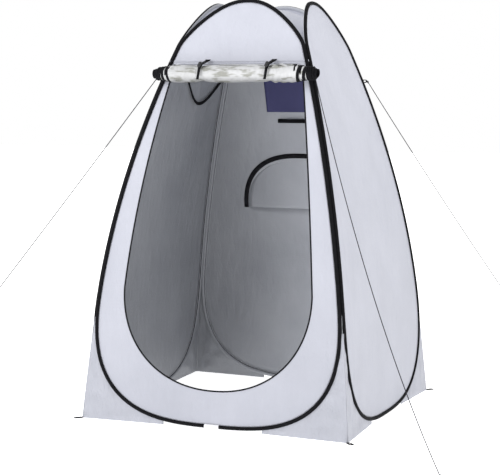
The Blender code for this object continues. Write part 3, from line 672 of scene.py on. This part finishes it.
def band(name, line, width, lift, thick, mats, side, body, nodes):
    """A flat band along a line of (x, z) on a wall, its middle ridge standing a little proud."""
    verts = []
    pts = [Vector((x, 0.0, z)) for x, z in line]
    for i, here in enumerate(pts):
        way = (pts[min(len(pts) - 1, i + 1)] - pts[max(0, i - 1)]).normalized()
        cross = Vector((-way.z, 0.0, way.x))
        for share, proud in ((-0.5, 0.0), (-0.46, 1.0), (-0.14, 1.0), (-0.09, 1.7), (0.09, 1.7),
                             (0.14, 1.0), (0.46, 1.0), (0.5, 0.0)):
            p = here + cross * (width * share)
            verts.append(turned(Vector((p.x, -wall_half(p.z) + lift + thick * proud, p.z)), side))
    faces = grid_faces(len(pts), 8, wrap_cols=True)
    faces.append(tuple(range(8)))
    faces.append(tuple((len(pts) - 1) * 8 + k for k in range(8))[::-1])
    return finish_piece(make_mesh(name, verts, faces, mats), body, nodes)


arch_line = arch_half(0.013, 1, 36)[1:]
arch_line = [(x, z + 0.012) for x, z in arch_line]
arch_line += [(-x, z) for x, z in arch_line[-2::-1]]
band("vent_zip_band", arch_line, 0.024, 0.0016, 0.0014, [ZIP_TEETH], 2, "tent", ["vent_zip"])

# ---- window cover ----
cover_cols = 25
cover_rows = 21
cover_verts = []
for r in range(cover_rows):
    for c in range(cover_cols):
        x = -COVER_HALF + 2.0 * COVER_HALF * c / (cover_cols - 1)
        z = COVER_FOOT + COVER_HEIGHT * r / (cover_rows - 1)
        rim = min(c, cover_cols - 1 - c, r, cover_rows - 1 - r)
        off = 0.0030 + (0.0012 if rim <= 1 else 0.0) + 0.0012 * noise.noise(Vector((x * 14.0, z * 11.0, 5.0)))
        cover_verts.append(turned(Vector((x, -wall_half(z) + off, z)), 2))
cover = make_mesh("window_cover_cloth", cover_verts, grid_faces(cover_rows, cover_cols), [NAVY])
solidify(cover, 0.0011)
finish_piece(cover, "tent", ["window_cover"])


# ---- straps ----
def strap(name, side, path, width, thick, body, nodes):
    """Flat webbing along a path of (x, z, stand-off): rounded edges and a slight cup."""
    pts = [Vector((x, -wall_half(z) + off, z)) for x, z, off in path]
    profile = ((-0.5, 0.3), (-0.46, 1.0), (-0.2, 0.8), (0.2, 0.8), (0.46, 1.0), (0.5, 0.3),
               (0.46, 0.0), (-0.46, 0.0))
    verts = []
    for i, here in enumerate(pts):
        way = (pts[min(len(pts) - 1, i + 1)] - pts[max(0, i - 1)]).normalized()
        cross = Vector((-way.z, 0.0, way.x)).normalized()
        for share, proud in profile:
            verts.append(turned(here + cross * (width * share) + Vector((0.0, thick * proud, 0.0)), side))
    count = len(profile)
    faces = grid_faces(len(pts), count, wrap_cols=True)
    faces.append(tuple(range(count)))
    faces.append(tuple((len(pts) - 1) * count + k for k in range(count))[::-1])
    return finish_piece(make_mesh(name, verts, faces, [BLACK_WEB]), body, nodes)


towel_path = []
for step in range(33):
    across = -1.0 + 2.0 * step / 32
    stand_off = TOWEL_STAND_OFF * max(0.0, 1.0 - across * across)
    towel_path.append((across * TOWEL_HALF, TOWEL_Z, 0.0018 + stand_off))
strap("towel_strap_web", 2, towel_path, TOWEL_WIDTH, STRAP_THICK, "tent", ["towel_strap"])
hang_path = []
for step in range(49):
    share = step / 48
    x = HANG_START + HANG_RUN * share
    low = HANG_LOWEST / HANG_RUN
    drop = share / low if share < low else (1.0 - share) / (1.0 - low)
    z = HANG_Z - HANG_DROP * math.sin(0.5 * math.pi * drop) ** 1.25
    hang_path.append((-x, z, 0.0018 + 0.010 * math.sin(math.pi * share)))
strap("hanging_strap_web", 3, hang_path, HANG_WIDTH, STRAP_THICK, "tent", ["hanging_strap"])


# ---- roof ----
def roof():
    crown = [Vector((x, -wall_half(z) + 0.004, z)) for x, z in HALF[-(CROWN_STEPS + 1):]]
    arc = crown + [Vector((-p.x, p.y, p.z)) for p in crown[-2::-1]]
    arc.reverse()
    count = len(arc) - 1
    low = arc[0].z
    corner = abs(arc[0].x)
    verts = []
    for j in range(count + 1):
        t = j / count
        for i in range(count + 1):
            s = i / count
            front = arc[i]
            rear = Vector((arc[i].x, -arc[i].y, arc[i].z))
            left = Vector((arc[j].y, arc[j].x, arc[j].z))
            right_side = Vector((-arc[j].y, arc[j].x, arc[j].z))
            blend = front * (1.0 - t) + rear * t + left * (1.0 - s) + right_side * s
            flat = Vector((corner * (2.0 * s - 1.0), corner * (2.0 * t - 1.0), low))
            point = blend - flat
            bulge = 16.0 * s * (1.0 - s) * t * (1.0 - t)
            point.z -= ROOF_SAG * bulge ** ROOF_SAG_POWER
            point.z += 0.004 * bulge * noise.noise(Vector((point.x * 8.0, point.y * 8.0, 2.0)))
            verts.append(point)
    obj = make_mesh("roof_cloth", verts, grid_faces(count + 1, count + 1), [OUTER, INNER])
    solidify(obj, CLOTH_THICK, 1)
    finish_piece(obj, "tent", ["roof_panel"])


roof()


# ---- corner skirts ----
def skirt(label, side):
    outside = []
    for here, out, _ in FRAMES[:FOOT_STEPS + 12]:
        moved = here + out * 0.003
        outside.append((moved.x, moved.z))
    edge = [(SKIRT_INNER, 0.0)]
    for (x0, z0), (x1, z1) in zip(outside[:-1], outside[1:]):
        if x0 <= SKIRT_INNER < x1:
            share = (SKIRT_INNER - x0) / (x1 - x0)
            edge.append((SKIRT_INNER, z0 + (z1 - z0) * share))
        if x1 > SKIRT_INNER and z1 < SKIRT_TOP:
            edge.append((x1, z1))
    low_edge = []
    for k in range(4):
        share = k / 4
        low_edge.append((edge[0][0], edge[1][1] * share))
    edge = low_edge + edge[1:]
    columns = 30
    verts = []
    top = edge[-1][1]
    for inner, z in edge:
        share = z / top
        flare = (BASE_HALF - WALL_HALF) * max(0.0, 1.0 - share) ** 2
        corner = wall_half(z) + flare
        for arm in (0, 1):
            steps = range(columns + 1) if arm == 0 else range(columns - 1, -1, -1)
            for k in steps:
                part = k / columns
                x = inner + (corner - inner) * part
                ridge = noise.noise(Vector((x * 9.0 + z * 14.0, z * 6.0 - x * 10.0, side * 4.0 + arm * 9.0)))
                fine = noise.noise(Vector((x * 26.0 + z * 30.0, z * 15.0 - x * 20.0, side + arm * 5.0)))
                fade = min(1.0, 6.0 * part * (1.0 - part)) * min(1.0, 5.0 * share + 0.25)
                fold = (0.0070 * ridge + 0.0032 * fine) * fade
                y = -(wall_half(z) + flare * part + fold - 0.001)
                p = Vector((x, y, z))
                if arm:
                    p = Vector((-y, -x, z))
                verts.append(turned(p, side))
    obj = make_mesh("skirt_" + label, verts, grid_faces(len(edge), 2 * columns + 1), [SKIRT, INNER])
    solidify(obj, CLOTH_THICK, 1)
    finish_piece(obj, "tent", ["corner_gusset_" + label])


def link(name, centre, along, across, length, width, eye_length, eye_width, thick, nodes):
    """Folded webbing loop with a rounded edge and an eye."""
    up_way = along.cross(across).normalized()
    steps = 40
    verts = []
    rings = ((0.0, 0.5), (0.04, 0.15), (0.18, 0.0), (0.82, 0.0), (0.96, 0.15), (1.0, 0.5),
             (0.96, 0.85), (0.82, 1.0), (0.18, 1.0), (0.04, 0.85))
    for k in range(steps):
        ang = 2.0 * math.pi * (k + 0.5) / steps
        outer_p = Vector((width * 0.5 * math.cos(ang), width * 0.5 * math.sin(ang), 0.0))
        outer_p.x += math.copysign(length * 0.5 - width * 0.5, outer_p.x)
        eye_p = Vector((eye_width * 0.5 * math.cos(ang), eye_width * 0.5 * math.sin(ang), 0.0))
        eye_p.x += math.copysign(eye_length * 0.5 - eye_width * 0.5, eye_p.x)
        for share, level in rings:
            p = outer_p.lerp(eye_p, share)
            verts.append(centre + along * p.x + across * p.y + up_way * (thick * level))
    obj = make_mesh(name, verts, grid_faces(steps, len(rings), wrap_rows=True, wrap_cols=True), [BLACK_WEB])
    return finish_piece(obj, "tent", nodes)


for label, number in CORNERS:
    skirt(label, number)
    outward = turned((ROOT_HALF, -ROOT_HALF, 0.0), number)
    sideways = Vector((0.0, 0.0, 1.0)).cross(outward)
    peg_reach = BASE_HALF / ROOT_HALF + 0.0206
    link("peg_webbing_" + label, outward * (peg_reach - 0.003), outward, sideways, 0.046, 0.022,
         0.020, 0.010, 0.003, ["peg_loop_" + label])
    tab_reach = (wall_half(GUY_Z) + 0.0012) / ROOT_HALF
    tab_centre = outward * (tab_reach + 0.009) + Vector((0.0, 0.0, GUY_Z))
    link("guy_webbing_" + label, tab_centre, outward, Vector((0.0, 0.0, 1.0)), 0.026, 0.016,
         0.012, 0.0075, 0.0018, ["guy_tab_" + label])

# ---- guy lines ----
GUYS = (
    ("front_left", 3, 1.266, 0.760, 0.004),
    ("front_right", 0, 1.347, 1.108, 0.125),
    ("back_right", 1, 1.316, 0.800, 0.012),
)
GUY_R = 0.0019


def guy_line(label, number, drop, run, sag):
    outward = turned((ROOT_HALF, -ROOT_HALF, 0.0), number)
    tab_reach = (wall_half(GUY_Z) + 0.0012) / ROOT_HALF
    start = outward * (tab_reach + 0.026) + Vector((0.0, 0.0, GUY_Z - 0.002))
    end = start + outward * run - Vector((0.0, 0.0, drop * run))
    curve = bpy.data.curves.new("guy_cord_" + label, "CURVE")
    curve.dimensions = "3D"
    curve.bevel_depth = GUY_R
    curve.bevel_resolution = 2
    curve.use_fill_caps = True
    spline = curve.splines.new("POLY")
    steps = 28
    spline.points.add(steps)
    pts = []
    for i in range(steps + 1):
        share = i / steps
        here = start.lerp(end, share)
        here.z -= sag * 4.0 * share * (1.0 - share)
        spline.points[i].co = (here.x, here.y, here.z, 1.0)
        pts.append(here)
    cord = bpy.data.objects.new("guy_cord_" + label, curve)
    curve.materials.append(CORD)
    scene.collection.objects.link(cord)
    finish_piece(cord, "tent", ["guy_line_" + label])
    along = (end - start - Vector((0.0, 0.0, -4.0 * sag))).normalized()
    side_way = along.cross(Vector((0.0, 0.0, 1.0))).normalized()
    rise = side_way.cross(along)
    centre = end + along * 0.0126
    frames = []
    for k in range(40):
        ang = 2.0 * math.pi * k / 40
        spoke = along * math.cos(ang) + rise * math.sin(ang)
        frames.append((centre + spoke * 0.010, spoke, side_way))
    eye = sweep("guy_knot_" + label, frames, round_section(0.0021, 10), [CORD])
    finish_piece(eye, "tent", ["guy_eye_" + label])
    way_in = (pts[1] - pts[0]).normalized()
    hitch_frames = []
    across = way_in.cross(Vector((0.0, 0.0, 1.0))).normalized()
    lift = across.cross(way_in)
    for k in range(73):
        ang = 2.0 * math.pi * 3.0 * k / 72
        spoke = across * math.cos(ang) + lift * math.sin(ang)
        hitch_frames.append((start - way_in * (0.004 - 0.010 * k / 72) + spoke * 0.0032, spoke, way_in))
    hitch = sweep("guy_hitch_" + label, hitch_frames, round_section(0.0015, 8), [CORD], closed=False)
    finish_piece(hitch, "tent", [])


for guy in GUYS:
    guy_line(*guy)

# ---- rolled door: one sheet wound into a spiral, with zip tape along its slanting edges ----
roll_y = -wall_half(ROLL_Z) - ROLL_OFFSET
TURNS = 9.2
CORE_R = 0.010
PITCH = (ROLL_R - CORE_R) / TURNS
DOOR_LEN = DOOR_TOP - DOOR_FOOT
around = 26
spiral_steps = int(TURNS * around)
across_steps = 96
roll_verts = []
roll_faces = []
roll_mats = []
span = 0.0
spans = []
for i in range(spiral_steps + 1):
    spans.append(span)
    radius = ROLL_R - PITCH * i / around
    span += radius * 2.0 * math.pi / around
for i in range(spiral_steps + 1):
    turn_angle = 2.0 * math.pi * i / around
    radius = ROLL_R - PITCH * i / around
    z_flat = DOOR_TOP - DOOR_LEN * spans[i] / span
    half = 0.287 + 0.72 * max(-0.1, door_half(z_flat) - 0.306)
    for c in range(across_steps + 1):
        share = c / across_steps
        x = -half + 2.0 * half * share + 0.006
        # the left end is wound a little tighter than the right
        if x > 0.0:
            x *= 1.03
        pinch = 0.0
        for toggle_x in TOGGLE_X:
            pinch = max(pinch, math.exp(-((x - toggle_x) / 0.022) ** 2))
        ang = math.radians(112.0) - turn_angle
        slant = x * 21.0 + ang * 1.3
        near = math.exp(-((x - 0.225) / 0.055) ** 2)
        fold = 0.0012 * math.sin(slant) * noise.noise(Vector((x * 7.0, ang * 0.8, 1.0)))
        fold += 0.0034 * noise.noise(Vector((x * 10.0 + ang * 0.7, ang * 1.1, 4.0)))
        fold += 0.0030 * near * math.sin(x * 150.0 + ang * 2.6)
        crease = math.sin(x * 34.0 - ang * 2.4 + 3.0 * noise.noise(Vector((x * 4.0, ang * 0.5, 9.0))))
        strength = 0.5 + 0.5 * noise.noise(Vector((x * 5.0, 2.0, ang * 0.4)))
        fold += 0.0042 * (abs(crease) ** 0.6 - 0.7) * strength
        if radius < ROLL_R - 1.2 * PITCH:
            fold *= 0.25
        puff = 1.0 - 0.13 * pinch
        shrink = 1.0 - 0.18 * max(0.0, (abs(x) - 0.30) / 0.10)
        r = (radius + fold) * puff * shrink + 0.0012 * math.cos(2.0 * (ang - 0.4))
        roll_verts.append(Vector((x, roll_y + r * math.cos(ang), ROLL_Z + r * math.sin(ang))))
for i in range(spiral_steps):
    for c in range(across_steps):
        row = across_steps + 1
        roll_faces.append((i * row + c, i * row + c + 1, (i + 1) * row + c + 1, (i + 1) * row + c))
        edge = min(c, across_steps - 1 - c)
        roll_mats.append(1 if edge < 2 else 0)
roll = make_mesh("rolled_door", roll_verts, roll_faces, [SILVER, TAPE], roll_mats)
solidify(roll, 0.0011)
finish_piece(roll, "door_roll", ["door_roll", "door_roll_end_left", "door_roll_end_right"])
for i in range(200):
    z = DOOR_FOOT + DOOR_LEN * (i + 0.5) / 200


def end_wraps(name, start, length, sign, ribs, first, last):
    """The wound zip tape at one end of the roll: a ribbed, tapering stack of turns."""
    frames = []
    steps = 48 * ribs
    for k in range(steps + 1):
        share = k / steps
        ang = 2.0 * math.pi * ribs * share
        lump = 0.0012 * noise.noise(Vector((share * 12.0, start * 9.0, 0.0)))
        reach = first + (last - first) * share + lump
        x = start + sign * length * share
        spoke = Vector((0.0, math.cos(ang), math.sin(ang)))
        frames.append((Vector((x, roll_y, ROLL_Z)) + spoke * reach, spoke, Vector((1.0, 0.0, 0.0))))
    half_pitch = 0.5 * length / ribs
    section = [(0.0062 * math.cos(t), 0.98 * half_pitch * math.sin(t)) for t in
               [2.0 * math.pi * k / 12 for k in range(12)]]
    obj = sweep(name, frames, section, [TAPE], closed=False)
    return finish_piece(obj, "door_roll", [])


end_wraps("zip_wraps_left", -0.290, 0.072, -1.0, 5, 0.0325, 0.0240)
end_wraps("zip_wraps_right", 0.300, 0.040, 1.0, 3, 0.0335, 0.0270)
end_wraps("zip_wraps_right_tip", 0.356, 0.036, 1.0, 4, 0.0262, 0.0235)

# ---- strip of the door between the seam and the roll ----
strip_rows = 80
strip_cols = 33
strip_verts = []
for r in range(strip_rows + 1):
    share = r / strip_rows
    z = STRIP_TOP + (STRIP_FOOT - STRIP_TOP) * share
    let_down = STRIP_TOP - 1.40 * (share * share * (3.0 - 2.0 * share))
    half = min(0.372, door_half(max(0.22, let_down)) * 0.93)
    for c in range(strip_cols):
        x = -half + 2.0 * half * c / (strip_cols - 1)
        lift = 0.0035 + 0.0010 * noise.noise(Vector((x * 6.0, let_down * 5.0, 8.0)))
        strip_verts.append(Vector((x, -wall_half(z) - lift, z)))
strip = make_mesh("door_strip", strip_verts, grid_faces(strip_rows + 1, strip_cols), [OUTER, INNER])
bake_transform(strip)
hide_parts("door_sheet")


# ---- toggle straps ----
def toggle(name, x):
    hinge_y = -wall_half(TOGGLE_TOP) - 0.010
    reach = ROLL_R + 0.0030
    path = [Vector((x, hinge_y - 0.002, TOGGLE_TOP + 0.004)), Vector((x, hinge_y - 0.006, TOGGLE_TOP))]
    for k in range(15):
        ang = math.radians(100.0 + 58.0 * k / 14)
        path.append(Vector((x, roll_y + reach * math.cos(ang), ROLL_Z + reach * math.sin(ang))))
    tail = math.radians(248.0)
    tip = path[-1]
    for k in range(1, 9):
        path.append(tip + Vector((0.0, math.cos(tail), math.sin(tail))) * (0.046 * k / 8))
    profile = ((-0.5, 0.4), (-0.46, 1.0), (0.0, 0.8), (0.46, 1.0), (0.5, 0.4), (0.46, 0.0), (-0.46, 0.0))
    verts = []
    for i, here in enumerate(path):
        way = (path[min(len(path) - 1, i + 1)] - path[max(0, i - 1)]).normalized()
        normal = Vector((0.0, way.z, -way.y))
        share = i / (len(path) - 1)
        width = 0.026 * (1.0 - 0.50 * min(1.0, share * 1.6))
        for across, proud in profile:
            verts.append(here + Vector((width * across, 0.0, 0.0)) + normal * (0.0018 * proud))
    count = len(profile)
    faces = grid_faces(len(path), count, wrap_cols=True)
    faces.append(tuple(range(count)))
    faces.append(tuple((len(path) - 1) * count + k for k in range(count))[::-1])
    obj = make_mesh("toggle_web_" + name, verts, faces, [BLACK_WEB])
    finish_piece(obj, "toggle_" + name, ["toggle_strap_" + name])
    bar_ang = math.radians(130.0)
    bar_out = Vector((0.0, math.cos(bar_ang), math.sin(bar_ang)))
    bar_way = Vector((0.0, -math.sin(bar_ang), math.cos(bar_ang)))
    bar_centre = Vector((x, roll_y, ROLL_Z)) + bar_out * (reach + 0.0086)
    bar_verts = []
    for k in range(21):
        share = 2.0 * k / 20 - 1.0
        size = 0.0070 * (1.0 - 0.5 * abs(share) ** 5) * (0.80 if abs(share) < 0.16 else 1.0)
        for m in range(16):
            ang = 2.0 * math.pi * m / 16
            spot = bar_centre + bar_way * (0.0165 * share) + bar_out * (size * math.sin(ang))
            bar_verts.append(spot + Vector((size * 1.25 * math.cos(ang), 0.0, 0.0)))
    bar_faces = grid_faces(21, 16, wrap_cols=True)
    bar_faces.append(tuple(range(16))[::-1])
    bar_faces.append(tuple(20 * 16 + m for m in range(16)))
    bar = make_mesh("toggle_knob_" + name, bar_verts, bar_faces, [PLASTIC])
    finish_piece(bar, "toggle_" + name, ["toggle_bar_" + name])


toggle("left", TOGGLE_X[0])
toggle("right", TOGGLE_X[1])

# ---- hidden steel, kept from the CAD ----
for wall_name in SIDES:
    for part_name in ("hoop_wire_", "wire_ferrule_"):
        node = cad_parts[part_name + wall_name]
        if not node.material_slots:
            node.data.materials.append(STEEL_MAT)
        for mat_slot in node.material_slots:
            mat_slot.material = STEEL_MAT

# ---- floor and light ----
floor_mat, _, _, floor_shader = new_material("pale_floor")
floor_shader.inputs["Base Color"].default_value = (0.92, 0.92, 0.92, 1.0)
floor_shader.inputs["Roughness"].default_value = 0.9
floor_shader.inputs["Emission Color"].default_value = (1.0, 1.0, 1.0, 1.0)
floor_shader.inputs["Emission Strength"].default_value = 0.85
floor = make_mesh("floor", [(-40, -40, -0.0005), (40, -40, -0.0005), (40, 40, -0.0005), (-40, 40, -0.0005)],
                  [(0, 1, 2, 3)], [floor_mat])
world = bpy.data.worlds.new("studio")
scene.world = world
world.use_nodes = True
world.node_tree.nodes["Background"].inputs["Color"].default_value = (1.0, 1.0, 1.0, 1.0)
world.node_tree.nodes["Background"].inputs["Strength"].default_value = 1.0


def area_light(name, place, aim, size, power):
    data = bpy.data.lights.new(name, "AREA")
    data.shape = "SQUARE"
    data.size = size
    data.energy = power
    obj = bpy.data.objects.new(name, data)
    scene.collection.objects.link(obj)
    obj.location = place
    obj.rotation_euler = (Vector(aim) - Vector(place)).to_track_quat("-Z", "Y").to_euler()


area_light("key_light", (-2.6, -4.2, 3.8), (0.0, 0.0, 1.0), 2.6, 75.0)
scene.view_settings.view_transform = "Standard"
